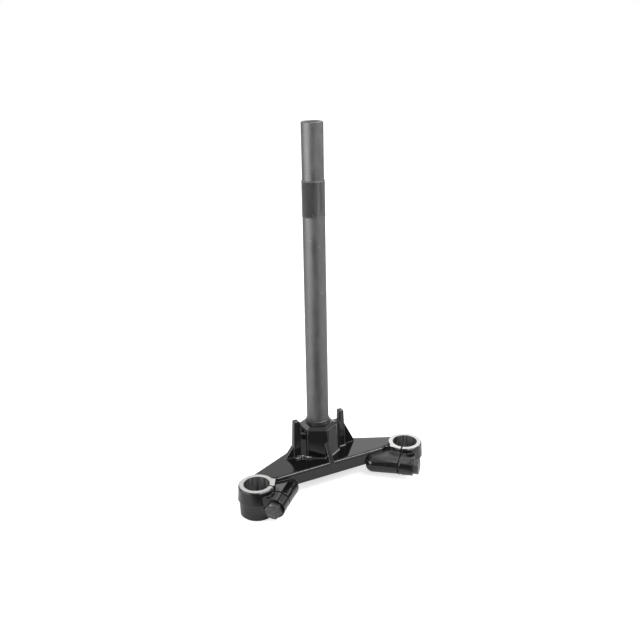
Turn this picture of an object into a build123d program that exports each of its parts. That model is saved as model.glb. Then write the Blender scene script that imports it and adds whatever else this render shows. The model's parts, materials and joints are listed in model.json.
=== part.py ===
from build123d import *
import math
import os

# Lower yoke of a two-wheeler with its pressed-in steering stem, in millimetres.
# The origin is on the stem axis at the bearing shoulder on top of the boss.
# Z runs up the stem, X along the line of the two forks, and the forks lie on the -Y side.

# Steering stem
stem_rise = 354.0
seat_diameter = 28.0
seat_length = 10.2
shaft_foot_diameter = 26.2
shaft_head_diameter = 25.2
thread_start = 251.5
thread_length = 40.5
thread_diameter = 26.0
crown_diameter = 24.2
stem_bore = 17.0
rim_chamfer = 0.8
step_chamfer = 0.6
notch_width = 2.4
notch_depth = 1.8
notch_bearing = 11.0
press_diameter = 29.0

# Fork clamps
fork_spacing = 200.0
fork_offset = 40.0
fork_bore = 30.0
clamp_drop = 35.5
clamp_height = 37.5
collar_top_radius = 20.9
collar_foot_radius = 21.9
collar_depth = 17.0
collar_ledge = 0.8
sleeve_top_radius = 20.3
sleeve_foot_radius = 19.8
collar_chamfer = 1.2
sleeve_chamfer = 1.8

# Pinch lugs
slot_angle = 44.0
slot_width = 2.0
pinch_offset = 6.1
pinch_drop = 17.8
lug_radius = 11.5
lug_front = 17.0
lug_back = 42.0
lug_fall = 4.5
lug_nose_round = 9.0
shelf_overlap = 18.0
shelf_back = 31.0
pad_reach = 17.4
pad_back = 15.2
pad_round = 1.5

# Arms
arm_drop = 3.5
arm_thickness = 16.5
arm_front = 35.8
arm_corner_x = 70.0
arm_return_x = 77.0
arm_return_front = 33.5
rear_radius = 28.8
hub_radius = 30.6
arm_round = 3.2
arm_under_chamfer = 1.0
hub_chamfer = 1.8

# Stem boss, a hexagon with one corner to the front
boss_flats = 44.0
boss_draft = 2.3
boss_corner_round = 5.0
boss_top_rise = 3.2
shoulder_flats = 31.2
boss_foot_flare = 1.3
boss_foot_rise = 1.6
boss_under_radius = 23.0
boss_under_drop = 2.5
boss_under_chamfer = 1.2

# Stop horns with their buttresses, and the front rib
horn_outer = 33.6
horn_inner = 27.4
horn_rise = 9.0
horn_front = 6.6
horn_rear = 4.6
horn_draft = 2.4
horn_corner = 3.2
horn_tip_chamfer = 1.0
horn_foot_chamfer = 1.2
web_drop = 1.5
left_web_lean = 5.6
right_web_lean = 0.0
buttress_thickness = 6.0
buttress_turn = 6.0
buttress_back = -0.2
left_buttress_reach = 45.0
left_buttress_height = 16.0
right_buttress_reach = 50.0
right_buttress_height = 31.0
rib_thickness = 6.0
rib_height = 23.9
rib_round = 2.0

# Pinch bolts
bolt_diameter = 10.0
bolt_length = 36.0
bolt_across_flats = 17.0
bolt_head_height = 7.0
head_bevel = 30.0
clearance_hole = 10.6
tap_clearance = 0.1
tap_margin = 2.0
left_head_turn = 45.0
right_head_turn = 20.0

# Levels and places worked out from the sizes above
clamp_top = -clamp_drop
clamp_bottom = clamp_top - clamp_height
collar_foot = clamp_top - collar_depth
arm_top = clamp_top - arm_drop
arm_bottom = arm_top - arm_thickness
boss_bottom = arm_bottom - boss_under_drop
boss_rim = -boss_top_rise
boss_apothem = boss_flats / 2
boss_rim_apothem = boss_apothem - (boss_rim - arm_top) * math.tan(math.radians(boss_draft))
shoulder_apothem = shoulder_flats / 2
web_top = boss_rim - web_drop
pinch_level = clamp_top - pinch_drop
pinch_reach = collar_top_radius + pinch_offset
fork_x = fork_spacing / 2
seat_radius = seat_diameter / 2
press_radius = press_diameter / 2
overlap = 3.0
hexagon_sides = 6
boss_turn = 180 / hexagon_sides


def fork_axis(side, level):
    """Point on a fork axis; side is -1 for the left clamp and +1 for the right one."""
    return Vector(side * fork_x, -fork_offset, level)


def slot_direction(side):
    """Unit vector from a fork axis along its slot, towards the middle and the front."""
    angle = math.radians(slot_angle)
    return Vector(-side * math.cos(angle), -math.sin(angle), 0)


def bolt_direction(side):
    """Unit vector along a pinch bolt, out of its head."""
    angle = math.radians(slot_angle)
    return Vector(side * math.sin(angle), -math.cos(angle), 0)


def slot_plane(side, level):
    """Level plane on a fork axis whose local X runs along the slot."""
    return Plane(fork_axis(side, level), x_dir=slot_direction(side), z_dir=(0, 0, 1))


def pinch_plane(side):
    """Plane across a pinch bolt at the middle of its slot; local Z runs out of the bolt head."""
    centre = fork_axis(side, pinch_level) + slot_direction(side) * pinch_reach
    return Plane(centre, x_dir=slot_direction(side), z_dir=bolt_direction(side))


def lug_plane(side):
    """The pinch plane leaning by the lug's fall, so that the lug drops a little towards the arm."""
    fall = math.radians(lug_fall)
    leaning = bolt_direction(side) * math.cos(fall) + Vector(0, 0, math.sin(fall))
    return Plane(pinch_plane(side).origin, x_dir=slot_direction(side), z_dir=leaning)


def rear_tangent(side):
    """Ends of the arm's straight rear edge, a tangent to a circle round the stem and to the collar."""
    span = math.hypot(fork_x, fork_offset)
    bearing = math.acos((rear_radius - collar_top_radius) / span) - math.atan2(fork_offset, fork_x)
    normal = Vector(side * math.cos(bearing), math.sin(bearing), 0)
    at_fork = Vector(side * fork_x, -fork_offset, 0) + normal * collar_top_radius
    return normal * rear_radius, at_fork


def rounded_outline(*corners):
    """Closed outline through (x, y, corner radius) triples; a radius of zero stays sharp."""
    points = [(x, y) for x, y, _ in corners]
    FilletPolyline(*points, radius=[radius for _, _, radius in corners], close=True)


def above_web(side, web_lean):
    """Outline of the room above a web, whose top may lean from the horn to the boss rim."""
    Polyline(
        (0, horn_rise),
        (side * horn_inner, horn_rise),
        (side * (horn_inner - web_lean), web_top),
        (0, web_top),
        close=True,
    )


def stop_horn(side, web_lean):
    """One stop horn on its web to the boss."""
    foot = arm_top - overlap
    spread = (horn_rise - foot) * math.tan(math.radians(horn_draft))
    foot_outer = horn_outer + spread
    foot_inner = press_radius + overlap
    middle = ((foot_outer + foot_inner) / 2 * side, (horn_rear - horn_front) / 2)
    with BuildPart() as horn:
        with BuildSketch(Plane.XY.offset(foot)):
            with Locations(middle):
                RectangleRounded(foot_outer - foot_inner, horn_front + horn_rear, horn_corner)
        extrude(amount=horn_rise - foot, taper=horn_draft)
        with BuildSketch(Plane.XZ):
            with BuildLine():
                above_web(side, web_lean)
            make_face()
        extrude(amount=horn_front + horn_rear, both=True, mode=Mode.SUBTRACT)
        chamfer(horn.faces().sort_by(Axis.Z)[-1].edges(), horn_tip_chamfer)
    return horn.part


def web_gusset(web_lean):
    """Drafted front of a web, from the right stop horn's front corner to the nearest corner of the boss."""
    boss_corner = (boss_apothem, -boss_apothem * math.tan(math.radians(boss_turn)))
    foot = arm_top - overlap
    with BuildPart() as gusset:
        with BuildSketch(Plane.XY.offset(foot)):
            with BuildLine():
                Polyline(
                    (0, 0),
                    boss_corner,
                    (horn_inner, -horn_front),
                    (horn_outer - horn_corner, 0),
                    close=True,
                )
            make_face()
        extrude(amount=horn_rise - foot, taper=horn_draft)
        with BuildSketch(Plane.XZ):
            with BuildLine():
                above_web(1, web_lean)
            make_face()
        extrude(amount=boss_flats, both=True, mode=Mode.SUBTRACT)
    return gusset.part


def stem_boss():
    """Drafted hexagon with a hipped top and a flared foot on the arms, and a round boss below them."""
    foot = arm_bottom + overlap
    spread = (arm_top - foot) * math.tan(math.radians(boss_draft))
    flare_apothem = boss_apothem + boss_foot_flare
    with BuildPart() as boss:
        with BuildSketch(Plane.XY.offset(foot)):
            RegularPolygon(boss_apothem + spread, hexagon_sides, major_radius=False, rotation=boss_turn)
        extrude(amount=-foot, taper=boss_draft)
        corners = boss.edges().filter_by(lambda edge: abs(edge.tangent_at(0.5).Z) > 0.5)
        fillet(corners, boss_corner_round)
        for facet in PolarLocations(boss_rim_apothem, hexagon_sides):
            outward = facet.x_axis.direction
            rim = outward * boss_rim_apothem + Vector(0, 0, boss_rim)
            slope = outward * boss_top_rise + Vector(0, 0, boss_rim_apothem - shoulder_apothem)
            split(bisect_by=Plane(rim, z_dir=slope), keep=Keep.BOTTOM)
        with BuildSketch(Plane.XY.offset(arm_top)):
            RegularPolygon(flare_apothem, hexagon_sides, major_radius=False, rotation=boss_turn)
        extrude(amount=boss_foot_rise, taper=math.degrees(math.atan2(boss_foot_flare, boss_foot_rise)))
        with BuildSketch(Plane.XY.offset(boss_bottom)):
            Circle(boss_under_radius)
        extrude(amount=foot - boss_bottom)
        chamfer(boss.faces().sort_by(Axis.Z)[0].edges(), boss_under_chamfer)
    return boss.part


def front_rib():
    """Upright rib on the middle line from the boss to the arms' front edge, with a rounded crest."""
    with BuildPart() as rib:
        with BuildSketch(Plane.YZ):
            with BuildLine():
                Polyline(
                    (-press_radius - overlap, arm_top - overlap),
                    (-press_radius - overlap, arm_top + rib_height),
                    (-boss_apothem, arm_top + rib_height),
                    (-arm_front, arm_top),
                    (-arm_front, arm_top - overlap),
                    close=True,
                )
            make_face()
        extrude(amount=rib_thickness / 2, both=True)
        slope = rib.faces().filter_by(lambda face: face.normal_at().Y < 0 < face.normal_at().Z)
        fillet(slope.edges().filter_by(Axis.X, reverse=True), rib_round)
    return rib.part


def horn_buttress(side, reach, height):
    """Sloping buttress on the outer face of a stop horn, turned a little to the rear."""
    turn = math.radians(buttress_turn)
    outward = Vector(side * math.cos(turn), math.sin(turn), 0)
    root = Vector(side * horn_outer, buttress_back, 0)
    upright = Plane(root, x_dir=outward, z_dir=outward.cross(Vector(0, 0, 1)))
    foot = arm_top - overlap
    slope = (reach - horn_outer) / height
    with BuildPart() as buttress:
        with BuildSketch(upright):
            with BuildLine():
                Polyline(
                    (-overlap, foot),
                    (reach - horn_outer + overlap * slope, foot),
                    (0, arm_top + height),
                    (-overlap, arm_top + height),
                    close=True,
                )
            make_face()
        extrude(amount=buttress_thickness / 2, both=True)
    return buttress.part


def lug_barrel(side):
    """The lug's barrel behind the slot: it falls towards the arm and ends in a rounded nose."""
    leaning = lug_plane(side)
    with BuildPart() as barrel:
        with BuildSketch(Plane(leaning.origin, x_dir=leaning.x_dir, z_dir=leaning.y_dir)):
            with BuildLine():
                rounded_outline(
                    (0, 0, 0),
                    (lug_radius, 0, 0),
                    (lug_radius, lug_back, lug_nose_round),
                    (0, lug_back, 0),
                )
            make_face()
        revolve(axis=Axis(leaning.origin, leaning.z_dir))
    return barrel.part


# Steering stem: a turned tube with a press-fit foot, bearing seat, tapered shaft, thread and plain crown
with BuildPart() as steering_stem:
    with BuildSketch(Plane.XZ) as stem_section:
        with BuildLine():
            Polyline(
                (stem_bore / 2, boss_bottom),
                (press_radius - rim_chamfer, boss_bottom),
                (press_radius, boss_bottom + rim_chamfer),
                (press_radius, 0),
                (seat_radius, 0),
                (seat_radius, seat_length - step_chamfer),
                (seat_radius - step_chamfer, seat_length),
                (shaft_foot_diameter / 2, seat_length),
                (shaft_head_diameter / 2, thread_start),
                (thread_diameter / 2 - step_chamfer, thread_start),
                (thread_diameter / 2, thread_start + step_chamfer),
                (thread_diameter / 2, thread_start + thread_length - step_chamfer),
                (thread_diameter / 2 - step_chamfer, thread_start + thread_length),
                (crown_diameter / 2, thread_start + thread_length),
                (crown_diameter / 2, stem_rise - rim_chamfer),
                (crown_diameter / 2 - rim_chamfer, stem_rise),
                (stem_bore / 2 + rim_chamfer, stem_rise),
                (stem_bore / 2, stem_rise - rim_chamfer),
                close=True,
            )
        make_face()
    revolve(axis=Axis.Z)
    with BuildSketch(Plane.XY.offset(stem_rise - notch_depth)) as notch:
        with Locations(Location((0, 0), notch_bearing)):
            Rectangle(crown_diameter, notch_width, align=(Align.MIN, Align.CENTER))
    extrude(amount=notch_depth, mode=Mode.SUBTRACT)
steering_stem.part.label = "steering_stem"

left_horn = stop_horn(-1, left_web_lean)
right_horn = stop_horn(1, right_web_lean)
left_barrel = lug_barrel(-1)
right_barrel = lug_barrel(1)
left_buttress = horn_buttress(-1, left_buttress_reach, left_buttress_height)
right_buttress = horn_buttress(1, right_buttress_reach, right_buttress_height)
right_gusset = web_gusset(right_web_lean)
left_gusset = mirror(web_gusset(left_web_lean), about=Plane.YZ)
boss = stem_boss()
rib = front_rib()

# Round hub of the arms, which stands a little proud at the rear
with BuildPart() as hub:
    with Locations((0, 0, arm_bottom)):
        Cylinder(hub_radius, arm_thickness, align=(Align.CENTER, Align.CENTER, Align.MIN))
    chamfer(hub.faces().sort_by(Axis.Z)[-1].edges(), hub_chamfer)
    chamfer(hub.faces().sort_by(Axis.Z)[0].edges(), arm_under_chamfer)

# Lower yoke: one casting of arms, clamps, pinch lugs, boss, horns and rib
with BuildPart() as lower_yoke:
    # Arm plate from clamp to clamp, with its round hub
    with BuildSketch(Plane.XY.offset(arm_bottom)) as arm_plan:
        hub_left, fork_left = rear_tangent(-1)
        hub_right, fork_right = rear_tangent(1)
        with BuildLine():
            Polyline(
                (-arm_corner_x, -arm_front),
                (arm_corner_x, -arm_front),
                (arm_return_x, -arm_return_front),
                (fork_x, -fork_offset),
                (fork_right.X, fork_right.Y),
                (hub_right.X, hub_right.Y),
                (hub_left.X, hub_left.Y),
                (fork_left.X, fork_left.Y),
                (-fork_x, -fork_offset),
                (-arm_return_x, -arm_return_front),
                close=True,
            )
        make_face()
    extrude(amount=arm_thickness)
    fillet(lower_yoke.faces().sort_by(Axis.Z)[-1].edges(), arm_round)
    chamfer(lower_yoke.faces().sort_by(Axis.Z)[0].edges(), arm_under_chamfer)
    add(hub.part)

    # Stop horns, with chamfered feet on the arms
    for horn in (left_horn, right_horn):
        add(horn)
        foot_edges = lower_yoke.edges(Select.LAST).filter_by_position(Axis.Z, arm_top, arm_top)
        chamfer(foot_edges, horn_foot_chamfer)
    add(left_buttress)
    add(right_buttress)
    add(left_gusset)
    add(right_gusset)

    # Pinch lugs: a bar across each slot, with a flat shelf back to the clamp
    add(left_barrel)
    add(right_barrel)
    for side in (-1, 1):
        with BuildSketch(pinch_plane(side)):
            Circle(lug_radius)
            with Locations((0, -side * lug_radius / 2)):
                Rectangle(shelf_overlap, lug_radius, align=(Align.MAX, Align.CENTER))
        extrude(amount=lug_front)
        with BuildSketch(lug_plane(side)):
            with Locations((0, -side * lug_radius / 2)):
                Rectangle(shelf_overlap, lug_radius, align=(Align.MAX, Align.CENTER))
        extrude(amount=-shelf_back)

    # Clamp collars and their lower sleeves
    for side in (-1, 1):
        with BuildSketch(Plane(fork_axis(side, 0), x_dir=(1, 0, 0), z_dir=(0, -1, 0))):
            with BuildLine():
                Polyline(
                    (0, clamp_bottom),
                    (sleeve_foot_radius - sleeve_chamfer, clamp_bottom),
                    (sleeve_foot_radius, clamp_bottom + sleeve_chamfer),
                    (sleeve_top_radius, collar_foot - collar_ledge),
                    (collar_foot_radius, collar_foot),
                    (collar_top_radius, clamp_top - collar_chamfer),
                    (collar_top_radius - collar_chamfer, clamp_top),
                    (0, clamp_top),
                    close=True,
                )
            make_face()
        revolve(axis=Axis(fork_axis(side, 0), (0, 0, 1)))

    # Flat pads beside the slots, up to the level of the clamp tops
    for side in (-1, 1):
        with BuildSketch(slot_plane(side, arm_bottom)):
            with BuildLine():
                rounded_outline(
                    (0, 0, 0),
                    (collar_top_radius, 0, 0),
                    (pad_reach, -side * pad_back, pad_round),
                    (0, -side * pad_back, 0),
                )
            make_face()
        extrude(amount=arm_thickness + arm_drop)

    # Stem boss with its front rib
    add(boss)
    add(rib)

    # Stem bore
    Cylinder(
        press_radius,
        -boss_bottom,
        align=(Align.CENTER, Align.CENTER, Align.MAX),
        mode=Mode.SUBTRACT,
    )

    # Fork bores, pinch slots and pinch bolt holes
    for side in (-1, 1):
        with Locations(fork_axis(side, clamp_bottom)):
            Cylinder(
                fork_bore / 2,
                clamp_height,
                align=(Align.CENTER, Align.CENTER, Align.MIN),
                mode=Mode.SUBTRACT,
            )
        with BuildSketch(slot_plane(side, clamp_bottom)):
            Rectangle(pinch_reach + lug_radius + overlap, slot_width, align=(Align.MIN, Align.CENTER))
        extrude(amount=clamp_height, mode=Mode.SUBTRACT)
        with BuildSketch(pinch_plane(side)):
            Circle(clearance_hole / 2)
        extrude(amount=lug_front, mode=Mode.SUBTRACT)
        with BuildSketch(pinch_plane(side)):
            Circle(bolt_diameter / 2 + tap_clearance)
        extrude(amount=-(bolt_length - lug_front + tap_margin), mode=Mode.SUBTRACT)
lower_yoke.part.label = "lower_yoke"


def pinch_bolt(side, head_turn):
    """Hex-head bolt seated on the end face of a pinch lug; the head's outer corners are bevelled."""
    seat = pinch_plane(side).offset(lug_front)
    with BuildPart() as bolt:
        with BuildSketch(seat):
            RegularPolygon(bolt_across_flats / 2, hexagon_sides, major_radius=False, rotation=head_turn)
        extrude(amount=bolt_head_height)
        with BuildSketch(seat.offset(bolt_head_height)):
            Circle(bolt_across_flats / 2)
        extrude(amount=-bolt_head_height, taper=head_bevel - 90, mode=Mode.INTERSECT)
        with BuildSketch(seat):
            Circle(bolt_diameter / 2)
        extrude(amount=-bolt_length)
    return bolt.part


left_bolt = pinch_bolt(-1, left_head_turn)
right_bolt = pinch_bolt(1, right_head_turn)
left_bolt.label = "pinch_bolt_left"
right_bolt.label = "pinch_bolt_right"

os.makedirs("parts", exist_ok=True)
export_step(lower_yoke.part, "parts/lower_yoke.step")
export_step(steering_stem.part, "parts/steering_stem.step")
export_step(left_bolt, "parts/pinch_bolt_left.step")
export_step(right_bolt, "parts/pinch_bolt_right.step")
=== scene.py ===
"""Looks of a motorcycle's lower triple clamp with its steering stem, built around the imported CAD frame."""

import json
import math

import bpy
import numpy as np
from bpy.props import FloatProperty, FloatVectorProperty, IntProperty, PointerProperty
from mathutils import Matrix, Vector


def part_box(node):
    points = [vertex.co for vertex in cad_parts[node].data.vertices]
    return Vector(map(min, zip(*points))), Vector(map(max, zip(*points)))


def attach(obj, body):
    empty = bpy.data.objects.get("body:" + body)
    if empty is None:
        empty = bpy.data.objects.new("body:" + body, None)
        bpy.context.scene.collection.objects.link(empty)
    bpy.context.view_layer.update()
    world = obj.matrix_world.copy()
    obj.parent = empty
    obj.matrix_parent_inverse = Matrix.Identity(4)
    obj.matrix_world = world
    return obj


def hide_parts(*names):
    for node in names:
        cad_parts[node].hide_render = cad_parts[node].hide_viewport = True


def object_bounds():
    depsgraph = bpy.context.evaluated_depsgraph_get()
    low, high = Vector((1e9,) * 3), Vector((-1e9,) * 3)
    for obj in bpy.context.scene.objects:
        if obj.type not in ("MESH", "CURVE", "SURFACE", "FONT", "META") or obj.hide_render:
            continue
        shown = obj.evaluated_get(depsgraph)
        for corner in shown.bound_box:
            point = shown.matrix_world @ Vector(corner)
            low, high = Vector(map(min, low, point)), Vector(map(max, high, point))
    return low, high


bl_info = {
    "name": "Lower triple clamp",
    "version": (1, 0, 0),
    "blender": (4, 5, 0),
    "location": "3D View > Sidebar > Triple clamp",
    "description": "Dresses the CAD frame of a lower triple clamp and sets up a small photo studio for it",
    "category": "Object",
}

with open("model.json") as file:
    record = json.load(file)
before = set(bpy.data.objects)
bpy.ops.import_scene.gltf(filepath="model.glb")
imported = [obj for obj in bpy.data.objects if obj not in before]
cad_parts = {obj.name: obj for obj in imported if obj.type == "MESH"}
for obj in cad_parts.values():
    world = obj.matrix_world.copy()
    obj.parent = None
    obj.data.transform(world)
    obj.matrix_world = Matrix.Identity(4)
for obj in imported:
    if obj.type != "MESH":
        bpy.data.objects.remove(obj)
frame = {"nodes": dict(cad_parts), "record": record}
CAD_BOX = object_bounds()

MM = 0.001

# The photo's side in pixels, and the camera's sensor width in mm
IMAGE_SIZE = 640
SENSOR = 36.0

# Sockets of the node that mixes two colours
FACTOR, FIRST, SECOND, MIXED = 0, 6, 7, 2

# Shares of its own colour that a material takes in the dark and the light of its pattern
PATCH_SHADES = (0.8, 1.2)
STREAK_SHADES = (0.55, 2.4)
FILM_SHADES = (0.86, 1.14)
PLATING_SHADES = (0.75, 1.35)
NICK_SHADE = 2.5
# Painted sheen: how many times lighter the enamel is painted on top of the right pinch lug
LUG_TOP_SHEEN_SHADE = 9

# Scales of a pattern along X, Y and Z: a small one draws it out
STREAK_DRAW = (1.0, 1.0, 0.12)
STAIN_DRAW = (1.0, 1.0, 0.4)

# Share of the turning lines in the tone of the oil film
LINE_SHARE = 0.35

# Zones of rough casting skin: on each axis their middle, full reach and faded reach in mm.
# Z counts from the arms' top, and the edge's Y from the arms' front edge.
CORNER_SKIN = {"X": (-24.5, 7.0, 11.0), "Z": (2.0, 0.5, 1.5)}
EDGE_SKIN = {"Y": (0.0, 1.0, 2.2), "Z": (-1.0, 1.2, 2.4)}
# The lug's zone also paints the enamel lighter there, a painted sheen
LUG_SKIN_AND_SHEEN = {"X": (70.0, 16.0, 20.0), "Y": (-55.0, 16.0, 20.0), "Z": (-4.5, 2.0, 4.0)}

# What tells a machined face: its reach in bore radii, slack in its place, and the rise of its normal
FACE_REACH = 2
FACE_SLACK = 0.1 * MM
BORE_SLACK = 0.05 * MM
LEVEL_RISE = 0.99
UPRIGHT_RISE = 0.1

# Depth of a thread as a share of its pitch, and what each flat cuts off as a share of that depth
THREAD_DEPTH = 0.61
THREAD_FLAT = 0.125

# Angle over which each side of the notch falls, in radians, and the depth of the rim in its chamfers
NOTCH_SIDE = 0.001
RIM_DEPTH = 1.5

# Angle from which an edge of the stem is sharp
SHARP_ANGLE = math.radians(30)

# Lamps: their place, the direction of their long side and their size in metres
SOFTBOXES = {
    "right": {"place": (0.62, -1.0, 1.5), "along": (1.0, 0.62, 0), "length": 2.4, "width": 0.65},
    "left": {"place": (-1.1, -0.1, 0.31), "along": (0, 1, 0), "length": 1.4, "width": 0.42},
    "side": {"place": (1.1, -0.13, 0.46), "along": (0, 1, 0), "length": 0.5, "width": 0.22},
    "rear_left": {"place": (-0.45, 1.3, 1.0), "along": (1, 0, 0), "length": 0.9, "width": 0.7},
    "rear": {"place": (1.05, 1.2, 0.8), "along": (1, 0, 0), "length": 0.9, "width": 1.0},
}

# Cloth on the floor: share of its left reach at the far end, and how far it draws in there on the right
FAR_LEFT = 0.6
FAR_RIGHT = 0.2

# Foot of the cloth wall behind on the right, and how high the cloth lies above the paper
SIDE_WALL = ((1.0, 0.33), (0.84, 0.66))
CLOTH_LIFT = 0.2 * MM

MOUNTS = {mount["name"]: mount for mount in frame["record"]["mounts"]}


def mount_radius(name):
    """A mount's radius in metres."""
    return MOUNTS[name]["dims"]["r_mm"] * MM


def mount_span(name):
    """The lowest and highest level of a mount along the stem, in metres."""
    middle = MOUNTS[name]["pos_m"][2]
    half = MOUNTS[name]["dims"]["length_mm"] * MM / 2
    return middle - half, middle + half


def linear(hex_colour):
    """An sRGB hex colour as linear red, green and blue."""
    channels = np.array([int(hex_colour[i : i + 2], 16) for i in (1, 3, 5)]) / 255
    low = channels / 12.92
    high = ((channels + 0.055) / 1.055) ** 2.4
    return tuple(np.where(channels <= 0.04045, low, high))


# Sizes and colours that a user may change


class ClampFinish(bpy.types.PropertyGroup):
    """Finishes of the casting and the bolts."""

    enamel: FloatVectorProperty(
        name="Enamel",
        description="Colour of the gloss black enamel",
        subtype="COLOR",
        default=linear("#0C0C0C"),
    )
    enamel_roughness: FloatProperty(
        name="Enamel roughness",
        description="How far the enamel spreads a reflection",
        subtype="FACTOR",
        default=0.06,
        min=0.0,
        max=1.0,
    )
    ripple: FloatProperty(
        name="Ripple",
        description="Spacing of the soft ripples that the casting leaves in the enamel",
        subtype="DISTANCE",
        unit="LENGTH",
        default=9 * MM,
    )
    ripple_depth: FloatProperty(
        name="Ripple depth",
        description="Depth of the soft ripples",
        subtype="DISTANCE",
        unit="LENGTH",
        default=0.06 * MM,
    )
    grit: FloatProperty(
        name="Grit",
        description="Spacing of the rough casting skin that the enamel covers in corners",
        subtype="DISTANCE",
        unit="LENGTH",
        default=1.5 * MM,
    )
    corner_grit: FloatProperty(
        name="Corner grit",
        description="Depth of the casting skin in the corner at the foot of the boss",
        subtype="DISTANCE",
        unit="LENGTH",
        default=0.4 * MM,
    )
    lug_grit: FloatProperty(
        name="Lug grit",
        description="Depth of the casting skin on top of the right pinch lug",
        subtype="DISTANCE",
        unit="LENGTH",
        default=0.7 * MM,
    )
    edge_grit: FloatProperty(
        name="Edge grit",
        description="Depth of the casting skin along the arms' front edge, on the parting line",
        subtype="DISTANCE",
        unit="LENGTH",
        default=0.14 * MM,
    )
    arm_drop: FloatProperty(
        name="Arm drop",
        description="Step from the clamps' top faces down to the arms",
        subtype="DISTANCE",
        unit="LENGTH",
        default=3.5 * MM,
    )
    arm_front: FloatProperty(
        name="Arm front",
        description="Distance from the stem axis to the middle of the arms' rounded front edge",
        subtype="DISTANCE",
        unit="LENGTH",
        default=34.9 * MM,
    )
    edge_round: FloatProperty(
        name="Edge round",
        description="How far the enamel rounds off the casting's edges",
        subtype="DISTANCE",
        unit="LENGTH",
        default=1.4 * MM,
    )
    machined: FloatVectorProperty(
        name="Machined face",
        description="Colour of the bare steel on the clamps' top faces",
        subtype="COLOR",
        default=linear("#C2C2C0"),
    )
    bored: FloatVectorProperty(
        name="Fork bore",
        description="Colour of the greasy steel inside the fork bores",
        subtype="COLOR",
        default=linear("#7E7E7E"),
    )
    lathe_feed: FloatProperty(
        name="Lathe feed",
        description="Spacing of the lathe's rings on the clamps' top faces, coarse enough to show",
        subtype="DISTANCE",
        unit="LENGTH",
        default=0.8 * MM,
    )
    ring_depth: FloatProperty(
        name="Ring depth",
        description="Depth of the lathe's rings on the clamps' top faces",
        subtype="DISTANCE",
        unit="LENGTH",
        default=0.006 * MM,
    )
    face_patch: FloatProperty(
        name="Face patch",
        description="Size of the duller patches on the clamps' top faces",
        subtype="DISTANCE",
        unit="LENGTH",
        default=10 * MM,
    )
    streak: FloatProperty(
        name="Bore streak",
        description="Width of the lengthwise streaks that fork tubes rub into the bores",
        subtype="DISTANCE",
        unit="LENGTH",
        default=2.2 * MM,
    )
    mottle: FloatProperty(
        name="Plating mottle",
        description="Size of the dull and worn patches in the bolts' plating",
        subtype="DISTANCE",
        unit="LENGTH",
        default=2.5 * MM,
    )
    mottle_depth: FloatProperty(
        name="Mottle depth",
        description="Depth of the worn patches in the bolts' plating",
        subtype="DISTANCE",
        unit="LENGTH",
        default=0.04 * MM,
    )
    bolt_round: FloatProperty(
        name="Bolt round",
        description="How far the bolts' edges are worn round",
        subtype="DISTANCE",
        unit="LENGTH",
        default=0.5 * MM,
    )
    zinc: FloatVectorProperty(
        name="Bolt plating",
        description="Colour of the bolts' dull zinc plating",
        subtype="COLOR",
        default=linear("#5A5A5B"),
    )


class StemTurning(bpy.types.PropertyGroup):
    """Sizes of the turned stem that its mounts don't give."""

    steel: FloatVectorProperty(
        name="Steel",
        description="Colour of the oiled, turned steel",
        subtype="COLOR",
        default=linear("#6A6A6B"),
    )
    # The bearing seat at the stem's foot is coloured darker than the shaft
    seat_colour: FloatVectorProperty(
        name="Seat colour",
        description="Colour of the bearing seat, which old grease has darkened",
        subtype="COLOR",
        default=linear("#4C4C4D"),
    )
    seat_colour_reach: FloatProperty(
        name="Grease reach",
        description="Distance from the middle of the bearing seat at which the grease ends",
        subtype="DISTANCE",
        unit="LENGTH",
        default=7 * MM,
    )
    stain: FloatProperty(
        name="Stain",
        description="Size of the lighter and darker patches in the oil film",
        subtype="DISTANCE",
        unit="LENGTH",
        default=7 * MM,
    )
    feed: FloatProperty(
        name="Feed",
        description="Spacing of the turning lines round the stem, coarse enough to show",
        subtype="DISTANCE",
        unit="LENGTH",
        default=1.1 * MM,
    )
    feed_depth: FloatProperty(
        name="Feed depth",
        description="Depth of the turning lines",
        subtype="DISTANCE",
        unit="LENGTH",
        default=0.02 * MM,
    )
    speck: FloatProperty(
        name="Speck",
        description="Size of the small bright nicks in the steel",
        subtype="DISTANCE",
        unit="LENGTH",
        default=2.4 * MM,
    )
    pitch: FloatProperty(
        name="Thread pitch",
        description="Rise of the thread in one turn",
        subtype="DISTANCE",
        unit="LENGTH",
        default=1.0 * MM,
    )
    shaft_foot: FloatProperty(
        name="Shaft foot radius",
        description="Radius of the tapered shaft just above the bearing seat",
        subtype="DISTANCE",
        unit="LENGTH",
        default=13.1 * MM,
    )
    shaft_head: FloatProperty(
        name="Shaft head radius",
        description="Radius of the tapered shaft just below the thread",
        subtype="DISTANCE",
        unit="LENGTH",
        default=12.6 * MM,
    )
    rim_chamfer: FloatProperty(
        name="Rim chamfer",
        description="Chamfer at both ends of the stem",
        subtype="DISTANCE",
        unit="LENGTH",
        default=0.8 * MM,
    )
    step_chamfer: FloatProperty(
        name="Step chamfer",
        description="Chamfer at the seat and at both ends of the thread",
        subtype="DISTANCE",
        unit="LENGTH",
        default=0.6 * MM,
    )
    notch_width: FloatProperty(
        name="Notch width",
        description="Width of the notch in the top rim",
        subtype="DISTANCE",
        unit="LENGTH",
        default=2.4 * MM,
    )
    notch_depth: FloatProperty(
        name="Notch depth",
        description="Depth of the notch in the top rim",
        subtype="DISTANCE",
        unit="LENGTH",
        default=1.8 * MM,
    )
    notch_bearing: FloatProperty(
        name="Notch bearing",
        description="Turn of the notch from +X towards +Y",
        subtype="ANGLE",
        default=math.radians(11),
    )
    columns: IntProperty(
        name="Columns",
        description="Faces round the stem",
        default=128,
        min=24,
    )
    rows_per_turn: IntProperty(
        name="Rows per turn",
        description="Faces across one turn of the thread",
        default=8,
        min=6,
    )


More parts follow.
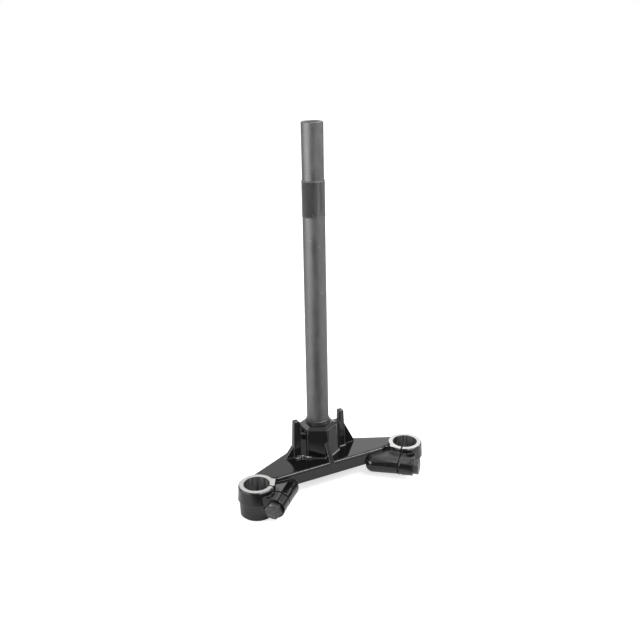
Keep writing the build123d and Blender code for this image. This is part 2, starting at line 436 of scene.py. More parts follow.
class PhotoStudio(bpy.types.PropertyGroup):
    """The camera, floor and lamps."""

    camera_place: FloatVectorProperty(
        name="Camera place",
        description="Where the camera stands in the frame",
        subtype="TRANSLATION",
        unit="LENGTH",
        default=(-390.7 * MM, -756.8 * MM, 438.3 * MM),
    )
    camera_azimuth: FloatProperty(
        name="Azimuth",
        description="Turn of the view from the +Y direction towards +X",
        subtype="ANGLE",
        default=math.radians(27.63),
    )
    camera_fall: FloatProperty(
        name="Fall",
        description="How far the view looks down",
        subtype="ANGLE",
        default=math.radians(19.9),
    )
    camera_roll: FloatProperty(
        name="Roll",
        description="Turn of the camera about its own axis",
        subtype="ANGLE",
        default=math.radians(-1.03),
    )
    focal_pixels: FloatProperty(
        name="Focal length",
        description="Focal length in pixels of the square image",
        default=784.15,
    )
    paper_reach: FloatProperty(
        name="Paper reach",
        description="How far the paper runs out on every side",
        subtype="DISTANCE",
        unit="LENGTH",
        default=40.0,
    )
    paper_glow: FloatProperty(
        name="Paper glow",
        description="What the paper adds to its own light for the camera, near the part",
        default=0.65,
    )
    paper_white: FloatProperty(
        name="Paper white",
        description="Distance from the part at which the paper is pure white to the camera",
        subtype="DISTANCE",
        unit="LENGTH",
        default=1.6,
    )
    mirrored_glow: FloatProperty(
        name="Mirrored glow",
        description="What the paper adds to its own light in reflections",
        default=0.1,
    )
    surround: FloatProperty(
        name="Surround",
        description="Strength of the even light from all round",
        default=0.3,
    )
    right_lamp: FloatProperty(
        name="Right lamp",
        description="Brightness of the long softbox high in front on the right",
        default=9.0,
    )
    left_lamp: FloatProperty(
        name="Left lamp",
        description="Brightness of the low softbox on the left",
        default=6.0,
    )
    side_lamp: FloatProperty(
        name="Side lamp",
        description="Brightness of the small, low softbox on the right",
        default=4.8,
    )
    rear_left_lamp: FloatProperty(
        name="Rear left lamp",
        description="Brightness of the softbox behind on the left",
        default=1.3,
    )
    rear_lamp: FloatProperty(
        name="Rear lamp",
        description="Brightness of the softbox behind on the right",
        default=0.6,
    )
    # The cloth's colour sets how dark its painted reflections in the enamel are
    cloth: FloatVectorProperty(
        name="Cloth",
        description="Colour of the grey cloth in front and on the right",
        subtype="COLOR",
        default=linear("#6C6C6C"),
    )
    cloth_start: FloatProperty(
        name="Cloth start",
        description="Distance from the stem to the near edge of the grey cloth",
        subtype="DISTANCE",
        unit="LENGTH",
        default=0.08,
    )
    cloth_fray: FloatProperty(
        name="Cloth fray",
        description="Width over which the cloth's near edge thins out",
        subtype="DISTANCE",
        unit="LENGTH",
        default=0.04,
    )
    cloth_end: FloatProperty(
        name="Cloth end",
        description="Distance from the stem to the wall of the grey cloth",
        subtype="DISTANCE",
        unit="LENGTH",
        default=0.95,
    )
    cloth_left: FloatProperty(
        name="Cloth left",
        description="Where the grey cloth on the floor ends on the left",
        subtype="DISTANCE",
        unit="LENGTH",
        default=-0.9,
    )
    cloth_right: FloatProperty(
        name="Cloth right",
        description="Where the grey cloth on the floor ends on the right",
        subtype="DISTANCE",
        unit="LENGTH",
        default=0.10,
    )
    cloth_rise: FloatProperty(
        name="Cloth rise",
        description="Height of the grey cloth's walls",
        subtype="DISTANCE",
        unit="LENGTH",
        default=0.7,
    )
    floor: FloatVectorProperty(
        name="Floor",
        description="Colour of the paper under the part",
        subtype="COLOR",
        default=linear("#E4E4E4"),
    )


# Helpers for meshes and materials


def add_node(tree, kind, links=None, inputs=None, **settings):
    """Adds a node, sets its own settings and input values, and links its inputs to other sockets."""
    node = tree.nodes.new(kind)
    for name, value in settings.items():
        setattr(node, name, value)
    for socket, value in (inputs or {}).items():
        node.inputs[socket].default_value = value
    for socket, source in (links or {}).items():
        tree.links.new(source, node.inputs[socket])
    return node


def new_material(name):
    """An empty material, its node tree and its output node."""
    material = bpy.data.materials.new(name)
    material.use_nodes = True
    tree = material.node_tree
    tree.nodes.clear()
    return material, tree, tree.nodes.new("ShaderNodeOutputMaterial")


def with_alpha(colour):
    """A colour as the four numbers that a colour socket takes."""
    return (*colour, 1.0)


def new_object(name, mesh):
    """A mesh as an object at the origin of the scene."""
    thing = bpy.data.objects.new(name, mesh)
    bpy.context.scene.collection.objects.link(thing)
    return thing


def closed_grid(name, points):
    """A mesh from a rows x columns x 3 grid of points that closes on itself both ways."""
    rows, columns = points.shape[:2]
    index = np.arange(rows * columns).reshape(rows, columns)
    above = np.roll(index, -1, axis=0)
    quads = np.stack([index, np.roll(index, -1, axis=1), np.roll(above, -1, axis=1), above], axis=-1)
    mesh = bpy.data.meshes.new(name)
    mesh.from_pydata(points.reshape(-1, 3), [], quads.reshape(-1, 4))
    mesh.polygons.foreach_set("use_smooth", np.ones(len(mesh.polygons), bool))
    mesh.update()
    return mesh


# Materials


def near(tree, value, middle, inner, outer):
    """A factor that is 1 where a value lies within inner of a middle, and falls to 0 at outer."""
    offset = add_node(tree, "ShaderNodeMath", links={0: value}, inputs={1: middle}, operation="SUBTRACT")
    distance = add_node(tree, "ShaderNodeMath", links={0: offset.outputs["Value"]}, operation="ABSOLUTE")
    fall = add_node(
        tree,
        "ShaderNodeMapRange",
        links={"Value": distance.outputs["Value"]},
        inputs={"From Min": outer, "From Max": inner},
    )
    return fall.outputs["Result"]


def zone(tree, axes, spans, origin):
    """A factor that is 1 inside a box and falls to 0 round it.

    spans gives each axis a middle, a full reach and a faded reach in mm, and the middle counts from origin.
    """
    factor = None
    for axis, (offset, inner, outer) in spans.items():
        middle = origin.get(axis, 0) + offset * MM
        within = near(tree, axes.outputs[axis], middle, inner * MM, outer * MM)
        if factor is not None:
            product = add_node(tree, "ShaderNodeMath", links={0: factor, 1: within}, operation="MULTIPLY")
            within = product.outputs["Value"]
        factor = within
    return factor


def shade(colour, share):
    """A colour made darker or lighter by a share, as a colour socket takes it."""
    return with_alpha([channel * share for channel in colour])


def gloss_black_enamel(finish):
    """Stove enamel on a steel casting: a black mirror that wavers with the casting's ripples."""
    material, tree, output = new_material("gloss_black_stove_enamel")
    place = add_node(tree, "ShaderNodeTexCoord")
    axes = add_node(tree, "ShaderNodeSeparateXYZ", links={"Vector": place.outputs["Object"]})
    ripples = add_node(
        tree,
        "ShaderNodeTexNoise",
        links={"Vector": place.outputs["Object"]},
        inputs={"Scale": 1 / finish.ripple, "Detail": 1.0},
    )
    grit = add_node(
        tree,
        "ShaderNodeTexNoise",
        links={"Vector": place.outputs["Object"]},
        inputs={"Scale": 1 / finish.grit, "Detail": 2.0},
    )
    # Rough casting skin is left where a grinder can't reach, in the corner between boss, horn and arm
    # on the left, on top of the right pinch lug, and faintly on the parting line along the arms' front
    # edge, so light breaks up there
    arm_top = mount_span("fork_clamp_right")[1] - finish.arm_drop
    corner = zone(tree, axes, CORNER_SKIN, {"Z": arm_top})
    edge = zone(tree, axes, EDGE_SKIN, {"Y": -finish.arm_front, "Z": arm_top})
    # The lug's zone masks both its casting skin and the painted sheen below
    lug = zone(tree, axes, LUG_SKIN_AND_SHEEN, {"Z": arm_top})
    skin = add_node(
        tree,
        "ShaderNodeMath",
        links={0: corner, 2: edge},
        inputs={1: finish.corner_grit / finish.edge_grit},
        operation="MULTIPLY_ADD",
    )
    share = add_node(
        tree,
        "ShaderNodeMath",
        links={0: lug, 2: skin.outputs["Value"]},
        inputs={1: finish.lug_grit / finish.edge_grit},
        operation="MULTIPLY_ADD",
    )
    rough = add_node(
        tree,
        "ShaderNodeMath",
        links={0: grit.outputs["Fac"], 1: share.outputs["Value"]},
        operation="MULTIPLY",
    )
    height = add_node(
        tree,
        "ShaderNodeMath",
        links={0: rough.outputs["Value"], 2: ripples.outputs["Fac"]},
        inputs={1: finish.edge_grit / finish.ripple_depth},
        operation="MULTIPLY_ADD",
    )
    # The enamel leaves the highest grains of that corner bare, so a ragged line of steel glints there
    grains = add_node(
        tree,
        "ShaderNodeMath",
        links={0: grit.outputs["Fac"], 1: corner},
        operation="MULTIPLY",
    )
    bare = add_node(
        tree,
        "ShaderNodeMapRange",
        links={"Value": grains.outputs["Value"]},
        inputs={"From Min": 0.44, "From Max": 0.52},
    )
    # On top of the right pinch lug the enamel's colour is painted lighter, a painted sheen
    matt = add_node(
        tree,
        "ShaderNodeMix",
        links={FACTOR: lug},
        inputs={FIRST: with_alpha(finish.enamel), SECOND: shade(finish.enamel, LUG_TOP_SHEEN_SHADE)},
        data_type="RGBA",
    )
    colour = add_node(
        tree,
        "ShaderNodeMix",
        links={FACTOR: bare.outputs["Result"], FIRST: matt.outputs[MIXED]},
        inputs={SECOND: with_alpha(finish.machined)},
        data_type="RGBA",
    )
    # The enamel draws back from edges and rounds them, so they carry thin bright lines
    rounded = add_node(tree, "ShaderNodeBevel", inputs={"Radius": finish.edge_round}, samples=8)
    bump = add_node(
        tree,
        "ShaderNodeBump",
        links={"Height": height.outputs["Value"], "Normal": rounded.outputs["Normal"]},
        inputs={"Strength": 1.0, "Distance": finish.ripple_depth},
    )
    shader = add_node(
        tree,
        "ShaderNodeBsdfPrincipled",
        links={
            "Base Color": colour.outputs[MIXED],
            "Metallic": bare.outputs["Result"],
            "Normal": bump.outputs["Normal"],
        },
        inputs={"Roughness": finish.enamel_roughness, "IOR": 1.5},
    )
    tree.links.new(shader.outputs["BSDF"], output.inputs["Surface"])
    return material


def turned_clamp_face(finish):
    """Bare steel, faced on a lathe: bright, with fine rings round the fork axis and duller patches."""
    material, tree, output = new_material("faced_bare_steel")
    fork = MOUNTS["fork_clamp_right"]["pos_m"]
    place = add_node(tree, "ShaderNodeTexCoord")
    # Both forks share one set of rings, because the clamps mirror each other in X
    folded = add_node(
        tree, "ShaderNodeVectorMath", links={0: place.outputs["Object"]}, operation="ABSOLUTE"
    )
    centred = add_node(
        tree,
        "ShaderNodeVectorMath",
        links={0: folded.outputs["Vector"]},
        inputs={1: (abs(fork[0]), abs(fork[1]), abs(mount_span("fork_clamp_right")[1]))},
        operation="SUBTRACT",
    )
    distance = add_node(
        tree, "ShaderNodeVectorMath", links={0: centred.outputs["Vector"]}, operation="LENGTH"
    )
    turns = add_node(
        tree,
        "ShaderNodeMath",
        links={0: distance.outputs["Value"]},
        inputs={1: 2 * math.pi / finish.lathe_feed},
        operation="MULTIPLY",
    )
    rings = add_node(tree, "ShaderNodeMath", links={0: turns.outputs["Value"]}, operation="SINE")
    patches = add_node(
        tree,
        "ShaderNodeTexNoise",
        links={"Vector": place.outputs["Object"]},
        inputs={"Scale": 1 / finish.face_patch, "Detail": 3.0},
    )
    dark, light = (shade(finish.machined, share) for share in PATCH_SHADES)
    colour = add_node(
        tree,
        "ShaderNodeMix",
        links={FACTOR: patches.outputs["Fac"]},
        inputs={FIRST: dark, SECOND: light},
        data_type="RGBA",
    )
    bump = add_node(
        tree,
        "ShaderNodeBump",
        links={"Height": rings.outputs["Value"]},
        inputs={"Strength": 1.0, "Distance": finish.ring_depth},
    )
    shader = add_node(
        tree,
        "ShaderNodeBsdfPrincipled",
        links={"Base Color": colour.outputs[MIXED], "Normal": bump.outputs["Normal"]},
        inputs={"Metallic": 1.0, "Roughness": 0.35},
    )
    tree.links.new(shader.outputs["BSDF"], output.inputs["Surface"])
    return material


def bored_steel(finish):
    """Bored steel that fork tubes have rubbed: grey and greasy, with lighter streaks along the bore."""
    material, tree, output = new_material("bored_greasy_steel")
    place = add_node(tree, "ShaderNodeTexCoord")
    drawn_out = add_node(
        tree,
        "ShaderNodeMapping",
        links={"Vector": place.outputs["Object"]},
        inputs={"Scale": STREAK_DRAW},
    )
    streaks = add_node(
        tree,
        "ShaderNodeTexNoise",
        links={"Vector": drawn_out.outputs["Vector"]},
        inputs={"Scale": 1 / finish.streak, "Detail": 2.0},
    )
    rubbed = add_node(
        tree,
        "ShaderNodeMapRange",
        links={"Value": streaks.outputs["Fac"]},
        inputs={"From Min": 0.35, "From Max": 0.7},
    )
    dark, light = (shade(finish.bored, share) for share in STREAK_SHADES)
    colour = add_node(
        tree,
        "ShaderNodeMix",
        links={FACTOR: rubbed.outputs["Result"]},
        inputs={FIRST: dark, SECOND: light},
        data_type="RGBA",
    )
    shader = add_node(
        tree,
        "ShaderNodeBsdfPrincipled",
        links={"Base Color": colour.outputs[MIXED]},
        inputs={"Metallic": 1.0, "Roughness": 0.45},
    )
    tree.links.new(shader.outputs["BSDF"], output.inputs["Surface"])
    return material


def oiled_turned_steel(turning):
    """Turned steel under a film of oil: dull grey, with faint lines, stains and small bright nicks."""
    material, tree, output = new_material("oiled_turned_steel")
    place = add_node(tree, "ShaderNodeTexCoord")
    axes = add_node(tree, "ShaderNodeSeparateXYZ", links={"Vector": place.outputs["Object"]})
    drawn_out = add_node(
        tree,
        "ShaderNodeMapping",
        links={"Vector": place.outputs["Object"]},
        inputs={"Scale": STAIN_DRAW},
    )
    stains = add_node(
        tree,
        "ShaderNodeTexNoise",
        links={"Vector": drawn_out.outputs["Vector"]},
        inputs={"Scale": 1 / turning.stain, "Detail": 4.0},
    )
    # Turning lines are a noise in the level alone, so each line runs right round
    lines = add_node(
        tree,
        "ShaderNodeTexNoise",
        links={"W": axes.outputs["Z"]},
        inputs={"Scale": 1 / turning.feed, "Detail": 1.0},
        noise_dimensions="1D",
    )
    film = add_node(
        tree,
        "ShaderNodeMath",
        links={0: lines.outputs["Fac"], 2: stains.outputs["Fac"]},
        inputs={1: LINE_SHARE},
        operation="MULTIPLY_ADD",
    )
    tone = add_node(
        tree,
        "ShaderNodeMapRange",
        links={"Value": film.outputs["Value"]},
        inputs={"From Min": 0.4, "From Max": 0.95},
    )
    dark, light = (shade(turning.steel, share) for share in FILM_SHADES)
    steel = add_node(
        tree,
        "ShaderNodeMix",
        links={FACTOR: tone.outputs["Result"]},
        inputs={FIRST: dark, SECOND: light},
        data_type="RGBA",
    )
    # The bearing seat is coloured darker than the shaft, fading out above and below it
    seat_low, seat_high = mount_span("lower_bearing_seat")
    seat_middle = (seat_low + seat_high) / 2
    seat = near(tree, axes.outputs["Z"], seat_middle, (seat_high - seat_low) / 2, turning.seat_colour_reach)
    darker_at_seat = add_node(
        tree,
        "ShaderNodeMix",
        links={FACTOR: seat, FIRST: steel.outputs[MIXED]},
        inputs={SECOND: with_alpha(turning.seat_colour)},
        data_type="RGBA",
    )
    nicks = add_node(
        tree,
        "ShaderNodeTexNoise",
        links={"Vector": place.outputs["Object"]},
        inputs={"Scale": 1 / turning.speck, "Detail": 0.0},
    )
    bare = add_node(
        tree,
        "ShaderNodeMapRange",
        links={"Value": nicks.outputs["Fac"]},
        inputs={"From Min": 0.83, "From Max": 0.87},
    )
    colour = add_node(
        tree,
        "ShaderNodeMix",
        links={FACTOR: bare.outputs["Result"], FIRST: darker_at_seat.outputs[MIXED]},
        inputs={SECOND: shade(turning.steel, NICK_SHADE)},
        data_type="RGBA",
    )
    gloss = add_node(
        tree,
        "ShaderNodeMapRange",
        links={"Value": stains.outputs["Fac"]},
        inputs={"From Min": 0.3, "From Max": 0.7, "To Min": 0.46, "To Max": 0.58},
    )
    bump = add_node(
        tree,
        "ShaderNodeBump",
        links={"Height": lines.outputs["Fac"]},
        inputs={"Strength": 1.0, "Distance": turning.feed_depth},
    )
    shader = add_node(
        tree,
        "ShaderNodeBsdfPrincipled",
        links={
            "Base Color": colour.outputs[MIXED],
            "Roughness": gloss.outputs["Result"],
            "Normal": bump.outputs["Normal"],
        },
        inputs={"Metallic": 1.0},
    )
    tree.links.new(shader.outputs["BSDF"], output.inputs["Surface"])
    return material


def dull_zinc_plate(finish):
    """Zinc-plated steel bolts that have gone dull: grey with worn, lighter patches and soft edges."""
    material, tree, output = new_material("dull_zinc_plate")
    place = add_node(tree, "ShaderNodeTexCoord")
    worn = add_node(
        tree,
        "ShaderNodeTexNoise",
        links={"Vector": place.outputs["Object"]},
        inputs={"Scale": 1 / finish.mottle, "Detail": 4.0},
    )
    tone = add_node(
        tree,
        "ShaderNodeMapRange",
        links={"Value": worn.outputs["Fac"]},
        inputs={"From Min": 0.3, "From Max": 0.7},
    )
    dark, light = (shade(finish.zinc, share) for share in PLATING_SHADES)
    colour = add_node(
        tree,
        "ShaderNodeMix",
        links={FACTOR: tone.outputs["Result"]},
        inputs={FIRST: dark, SECOND: light},
        data_type="RGBA",
    )
    gloss = add_node(
        tree,
        "ShaderNodeMapRange",
        links={"Value": worn.outputs["Fac"]},
        inputs={"From Min": 0.3, "From Max": 0.7, "To Min": 0.5, "To Max": 0.32},
    )
    rounded = add_node(tree, "ShaderNodeBevel", inputs={"Radius": finish.bolt_round}, samples=8)
    bump = add_node(
        tree,
        "ShaderNodeBump",
        links={"Height": worn.outputs["Fac"], "Normal": rounded.outputs["Normal"]},
        inputs={"Strength": 1.0, "Distance": finish.mottle_depth},
    )
    shader = add_node(
        tree,
        "ShaderNodeBsdfPrincipled",
        links={
            "Base Color": colour.outputs[MIXED],
            "Roughness": gloss.outputs["Result"],
            "Normal": bump.outputs["Normal"],
        },
        inputs={"Metallic": 1.0},
    )
    tree.links.new(shader.outputs["BSDF"], output.inputs["Surface"])
    return material


# Pieces


def fork_distance(points):
    """Distance of points from the nearer fork axis; the axes mirror each other in X."""
    axis = MOUNTS["fork_clamp_right"]["pos_m"]
    return np.hypot(np.abs(points[:, 0]) - axis[0], points[:, 1] - axis[1])


def machined_faces(mesh):
    """Which faces lie level on top of the clamps, and which line the fork bores."""
    count = len(mesh.polygons)
    centres = np.empty(count * 3)
    normals = np.empty(count * 3)
    mesh.polygons.foreach_get("center", centres)
    mesh.polygons.foreach_get("normal", normals)
    centres = centres.reshape(-1, 3)
    normals = normals.reshape(-1, 3)
    clamp_top = mount_span("fork_clamp_right")[1]
    bore = mount_radius("fork_clamp_right")
    distance = fork_distance(centres)
    on_top = np.abs(centres[:, 2] - clamp_top) < FACE_SLACK
    faced = (distance < FACE_REACH * bore) & on_top & (normals[:, 2] > LEVEL_RISE)
    bored = (distance < bore + BORE_SLACK) & (np.abs(normals[:, 2]) < UPRIGHT_RISE)
    return faced, bored


def smooth_step(value):
    """0 below 0, 1 above 1 and an even S between them."""
    value = np.clip(value, 0, 1)
    return value * value * (3 - 2 * value)


def stem_outline(turning):
    """Radius and level of the stem's corners, up the outside and back down the bore."""
    low, high = (corner[2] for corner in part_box("steering_stem"))
    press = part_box("steering_stem")[1][0]
    bore = mount_radius("stem_bore")
    seat = mount_radius("lower_bearing_seat")
    crown = mount_radius("stem_head")
    thread = mount_radius("stem_thread")
    rim = turning.rim_chamfer
    step = turning.step_chamfer
    seat_top = mount_span("lower_bearing_seat")[1] + step
    start, end = mount_span("stem_thread")
    rows = np.arange(start, end, turning.pitch / turning.rows_per_turn)
    below_notch = high - turning.notch_depth - 2 * rim
    return np.array(
        [
            (bore, low),
            (press - rim, low),
            (press, low + rim),
            (press, 0),
            (seat, 0),
            (seat, seat_top - step),
            (seat - step, seat_top),
            (turning.shaft_foot, seat_top),
            (turning.shaft_head, start - step),
            (thread - step, start - step),
            *[(thread, level) for level in rows],
            (thread, end),
            (thread - step, end + step),
            (crown, end + step),
            (crown, below_notch),
            (crown, high - rim),
            (crown - rim, high),
            (bore + rim, high),
            (bore, high - rim),
            (bore, below_notch),
        ]
    )


def thread_groove(angle, level, pitch, start, end):
    """Depth of a thread's groove: a triangle wave with small flats across the helix, run out at both ends.

    depth = THREAD_DEPTH * pitch * wave(level / pitch - angle / (2 pi)) * run_out(level)
    """
    turn = np.mod(level / pitch - angle / (2 * math.pi), 1.0)
    flank = np.clip((1 + 2 * THREAD_FLAT) * (1 - np.abs(2 * turn - 1)) - THREAD_FLAT, 0, 1)
    run_out = smooth_step((level - start) / pitch) * smooth_step((end - level) / pitch)
    return THREAD_DEPTH * pitch * flank * run_out


def stem_points(turning):
    """Grid of the stem: its outline turned about Z, less the groove, with the rim lowered at the notch.

    point = ((radius - groove) cos(angle), (radius - groove) sin(angle), level - notch)
    """
    outline = stem_outline(turning)
    top = outline[:, 1].max()
    half = turning.notch_width / 2 / mount_radius("stem_head")
    edges = np.array([-half - NOTCH_SIDE, -half, half, half + NOTCH_SIDE])
    around = np.linspace(2 * half, 2 * math.pi - 2 * half, turning.columns)
    angle = turning.notch_bearing + np.concatenate([edges, around])
    in_notch = (np.arange(len(angle)) == 1) | (np.arange(len(angle)) == 2)
    radius, level = (np.repeat(outline[:, i, None], len(angle), axis=1) for i in (0, 1))
    angle = np.repeat(angle[None], len(outline), axis=0)
    start, end = mount_span("stem_thread")
    outside = radius > mount_radius("stem_thread") - turning.step_chamfer / 2
    groove = thread_groove(angle, level, turning.pitch, start, end)
    radius = radius - np.where(outside & (level >= start) & (level <= end), groove, 0)
    on_rim = level > top - RIM_DEPTH * turning.rim_chamfer
    level = level - np.where(on_rim & in_notch, turning.notch_depth, 0)
    return np.stack([radius * np.cos(angle), radius * np.sin(angle), level], axis=-1)


class CLAMP_OT_casting(bpy.types.Operator):
    """Paints the yoke casting and bares its machined clamp faces"""

    bl_idname = "clamp.casting"
    bl_label = "Yoke casting"

    def execute(self, context):
        finish = context.scene.clamp_finish
        yoke = frame["nodes"]["lower_yoke"]
        yoke.data.materials.clear()
        yoke.data.materials.append(gloss_black_enamel(finish))
        yoke.data.materials.append(turned_clamp_face(finish))
        yoke.data.materials.append(bored_steel(finish))
        faced, bored = machined_faces(yoke.data)
        if not (faced.any() and bored.any()):
            raise RuntimeError("the casting has no machined faces at its clamps")
        yoke.data.polygons.foreach_set("material_index", (faced + 2 * bored).astype(np.int32))
        return {"FINISHED"}


class CLAMP_OT_stem(bpy.types.Operator):
    """Turns the steering stem and cuts its thread"""

    bl_idname = "clamp.stem"
    bl_label = "Steering stem"

    def execute(self, context):
        turning = context.scene.clamp_stem
        mesh = closed_grid("turned_stem", stem_points(turning))
        mesh.set_sharp_from_angle(angle=SHARP_ANGLE)
        mesh.materials.append(oiled_turned_steel(turning))
        stem = new_object("turned_stem", mesh)
        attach(stem, "root")
        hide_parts("steering_stem")
        return {"FINISHED"}


class CLAMP_OT_bolts(bpy.types.Operator):
    """Plates both pinch bolts"""

    bl_idname = "clamp.bolts"
    bl_label = "Pinch bolts"

    def execute(self, context):
        plate = dull_zinc_plate(context.scene.clamp_finish)
        for name in ("pinch_bolt_left", "pinch_bolt_right"):
            bolt = frame["nodes"][name]
            bolt.data.materials.clear()
            bolt.data.materials.append(plate)
        return {"FINISHED"}


# Stage


def white_paper(studio):
    """Matt white paper: it takes the part's shadow, and turns pure white to the camera farther out."""
    material, tree, output = new_material("matt_white_paper")
    path = add_node(tree, "ShaderNodeLightPath")
    mirrored = add_node(
        tree,
        "ShaderNodeMath",
        links={0: path.outputs["Is Glossy Ray"]},
        inputs={1: studio.mirrored_glow},
        operation="MULTIPLY",
    )
    place = add_node(tree, "ShaderNodeTexCoord")
    reach = add_node(
        tree, "ShaderNodeVectorMath", links={0: place.outputs["Object"]}, operation="LENGTH"
    )
    fade = add_node(
        tree,
        "ShaderNodeMapRange",
        links={"Value": reach.outputs["Value"]},
        inputs={
            "From Min": studio.paper_white / 2,
            "From Max": studio.paper_white,
            "To Min": studio.paper_glow,
            "To Max": 1.0,
        },
    )
    share = add_node(
        tree,
        "ShaderNodeMath",
        links={
            0: path.outputs["Is Camera Ray"],
            1: fade.outputs["Result"],
            2: mirrored.outputs["Value"],
        },
        operation="MULTIPLY_ADD",
    )
    matt = add_node(tree, "ShaderNodeBsdfDiffuse", inputs={"Color": with_alpha(studio.floor)})
    glow = add_node(tree, "ShaderNodeEmission", links={"Strength": share.outputs["Value"]})
    both = add_node(
        tree, "ShaderNodeAddShader", links={0: matt.outputs["BSDF"], 1: glow.outputs["Emission"]}
    )
    tree.links.new(both.outputs["Shader"], output.inputs["Surface"])
    return material


def sheet_mesh(name, corners):
    """One flat face through its corners."""
    mesh = bpy.data.meshes.new(name)
    mesh.from_pydata(np.array(corners), [], [range(len(corners))])
    return mesh


def grey_cloth(studio, level):
    """Grey cloth that only reflections show, a painted dark reflection in the enamel.

    It lies on the floor in front, rises as two walls beside the camera, and as one behind on the right.
    """
    material, tree, output = new_material("dyed_grey_cloth")
    place = add_node(tree, "ShaderNodeTexCoord")
    axes = add_node(tree, "ShaderNodeSeparateXYZ", links={"Vector": place.outputs["Object"]})
    # A frayed near edge, so that no hard line is mirrored in the enamel
    away = add_node(tree, "ShaderNodeMath", links={0: axes.outputs["Y"]}, operation="ABSOLUTE")
    fray = add_node(
        tree,
        "ShaderNodeMapRange",
        links={"Value": away.outputs["Value"]},
        inputs={"From Min": studio.cloth_start, "From Max": studio.cloth_start + studio.cloth_fray},
    )
    gap = add_node(tree, "ShaderNodeBsdfTransparent")
    cloth = add_node(tree, "ShaderNodeBsdfDiffuse", inputs={"Color": with_alpha(studio.cloth)})
    woven = add_node(
        tree,
        "ShaderNodeMixShader",
        links={0: fray.outputs["Result"], 1: gap.outputs["BSDF"], 2: cloth.outputs["BSDF"]},
    )
    tree.links.new(woven.outputs["Shader"], output.inputs["Surface"])
    lying = level + CLOTH_LIFT
    top = lying + studio.cloth_rise
    front, far = -studio.cloth_start, -studio.cloth_end
    left, right = studio.cloth_left, studio.cloth_right
    # The sheet is widest half way out, and narrower at the part and at the walls
    outline = [
        (left / 2, front),
        (left, far / 2),
        (left * FAR_LEFT, far),
        (right - FAR_RIGHT, far),
        (right, front),
    ]
    sheets = [sheet_mesh("cloth_on_floor", [(x, y, lying) for x, y in outline])]
    for (x0, y0), (x1, y1) in (outline[1:3], outline[2:4], SIDE_WALL):
        corners = [(x0, y0, lying), (x1, y1, lying), (x1, y1, top), (x0, y0, top)]
        sheets.append(sheet_mesh("cloth_wall", corners))
    flags = []
    for mesh in sheets:
        mesh.materials.append(material)
        flag = new_object(mesh.name, mesh)
        # Hidden from the camera, from diffuse light and from shadows, the cloth only paints dark reflections
        flag.visible_camera = False
        flag.visible_diffuse = False
        flag.visible_shadow = False
        flags.append(flag)
    return flags


def studio_world(strength):
    """An even white surround that lights softly and looks white to the camera and in reflections."""
    world = bpy.data.worlds.new("white_surround")
    world.use_nodes = True
    tree = world.node_tree
    tree.nodes.clear()
    path = add_node(tree, "ShaderNodeLightPath")
    seen = add_node(
        tree,
        "ShaderNodeMath",
        links={0: path.outputs["Is Camera Ray"], 1: path.outputs["Is Glossy Ray"]},
        operation="MAXIMUM",
    )
    level = add_node(
        tree,
        "ShaderNodeMapRange",
        links={"Value": seen.outputs["Value"]},
        inputs={"To Min": strength, "To Max": 1.0},
    )
    back = add_node(
        tree,
        "ShaderNodeBackground",
        links={"Strength": level.outputs["Result"]},
        inputs={"Color": (1.0, 1.0, 1.0, 1.0)},
    )
    output = add_node(tree, "ShaderNodeOutputWorld")
    tree.links.new(back.outputs["Background"], output.inputs["Surface"])
    return world


def softbox(name, brightness, place, along, length, width):
    """An area lamp that faces the part; along is the direction of its long side."""
    lamp = bpy.data.lights.new(name, "AREA")
    lamp.shape = "RECTANGLE"
    lamp.size = length
    lamp.size_y = width
    lamp.energy = brightness * math.pi * length * width
    back = Vector(place).normalized()
    side = (Vector(along) - back * back.dot(Vector(along))).normalized()
    turn = Matrix((side, back.cross(side), back)).transposed().to_4x4()
    thing = bpy.data.objects.new(name, lamp)
    thing.matrix_world = Matrix.Translation(place) @ turn
    bpy.context.scene.collection.objects.link(thing)
    return thing


def view_axes(azimuth, fall, roll):
    """The camera's right, up and forward directions."""
    forward = Vector(
        (math.sin(azimuth) * math.cos(fall), math.cos(azimuth) * math.cos(fall), -math.sin(fall))
    )
    right = forward.cross(Vector((0, 0, 1))).normalized()
    up = right.cross(forward)
    return (
        right * math.cos(roll) + up * math.sin(roll),
        up * math.cos(roll) - right * math.sin(roll),
        forward,
    )


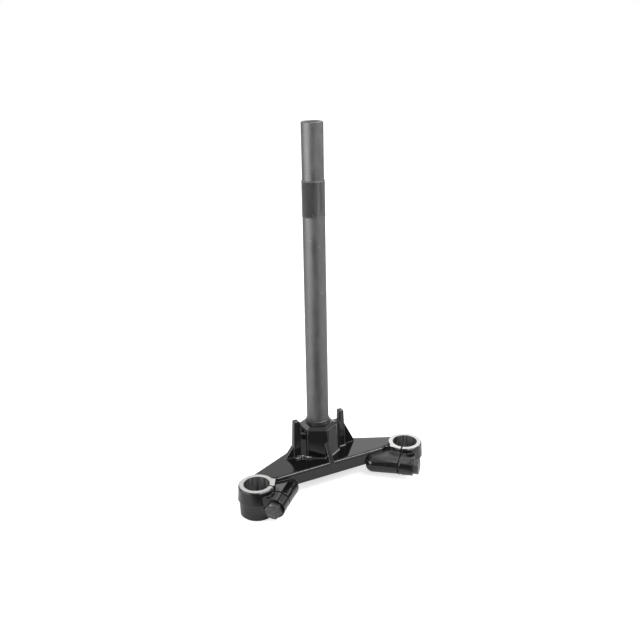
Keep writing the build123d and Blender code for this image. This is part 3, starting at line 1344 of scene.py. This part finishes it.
class CLAMP_OT_stage(bpy.types.Operator):
    """Lays the paper, hangs the lamps and places the camera"""

    bl_idname = "clamp.stage"
    bl_label = "Photo studio"

    def execute(self, context):
        scene = context.scene
        studio = scene.clamp_studio
        level = CAD_BOX[0][2]
        reach = studio.paper_reach
        square = ((-reach, -reach), (reach, -reach), (reach, reach), (-reach, reach))
        paper = new_object("paper", sheet_mesh("paper", [(x, y, level) for x, y in square]))
        paper.data.materials.append(white_paper(studio))
        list(grey_cloth(studio, level))

        scene.world = studio_world(studio.surround)
        for side, layout in SOFTBOXES.items():
            softbox(side + "_softbox", getattr(studio, side + "_lamp"), **layout)

        right, up, forward = view_axes(studio.camera_azimuth, studio.camera_fall, studio.camera_roll)
        data = bpy.data.cameras.new("camera")
        data.sensor_width = SENSOR
        data.lens = studio.focal_pixels * SENSOR / IMAGE_SIZE
        data.clip_start = 0.01
        camera = bpy.data.objects.new("camera", data)
        scene.collection.objects.link(camera)
        turn = Matrix((right, up, -forward)).transposed().to_4x4()
        camera.matrix_world = Matrix.Translation(studio.camera_place) @ turn
        scene.camera = camera
        scene.view_settings.view_transform = "Standard"
        return {"FINISHED"}


class CLAMP_PT_sidebar(bpy.types.Panel):
    """Lists the triple clamp's pieces and its studio"""

    bl_idname = "CLAMP_PT_sidebar"
    bl_label = "Triple clamp"
    bl_space_type = "VIEW_3D"
    bl_region_type = "UI"
    bl_category = "Triple clamp"

    def draw(self, context):
        for operator in OPERATORS:
            self.layout.operator(operator.bl_idname)
        for group in GROUPS:
            settings = getattr(context.scene, group)
            for name in GROUPS[group].__annotations__:
                self.layout.prop(settings, name)


GROUPS = {"clamp_finish": ClampFinish, "clamp_stem": StemTurning, "clamp_studio": PhotoStudio}
OPERATORS = (CLAMP_OT_casting, CLAMP_OT_stem, CLAMP_OT_bolts, CLAMP_OT_stage)


def register():
    for group in GROUPS.values():
        bpy.utils.register_class(group)
    for name, group in GROUPS.items():
        setattr(bpy.types.Scene, name, PointerProperty(type=group))
    for operator in OPERATORS:
        bpy.utils.register_class(operator)
    bpy.utils.register_class(CLAMP_PT_sidebar)


def unregister():
    bpy.utils.unregister_class(CLAMP_PT_sidebar)
    for operator in reversed(OPERATORS):
        bpy.utils.unregister_class(operator)
    for name in GROUPS:
        delattr(bpy.types.Scene, name)
    for group in reversed(GROUPS.values()):
        bpy.utils.unregister_class(group)


def main():
    register()
    bpy.ops.clamp.casting()
    bpy.ops.clamp.stem()
    bpy.ops.clamp.bolts()
    bpy.ops.clamp.stage()


if __name__ == "__main__":
    main()
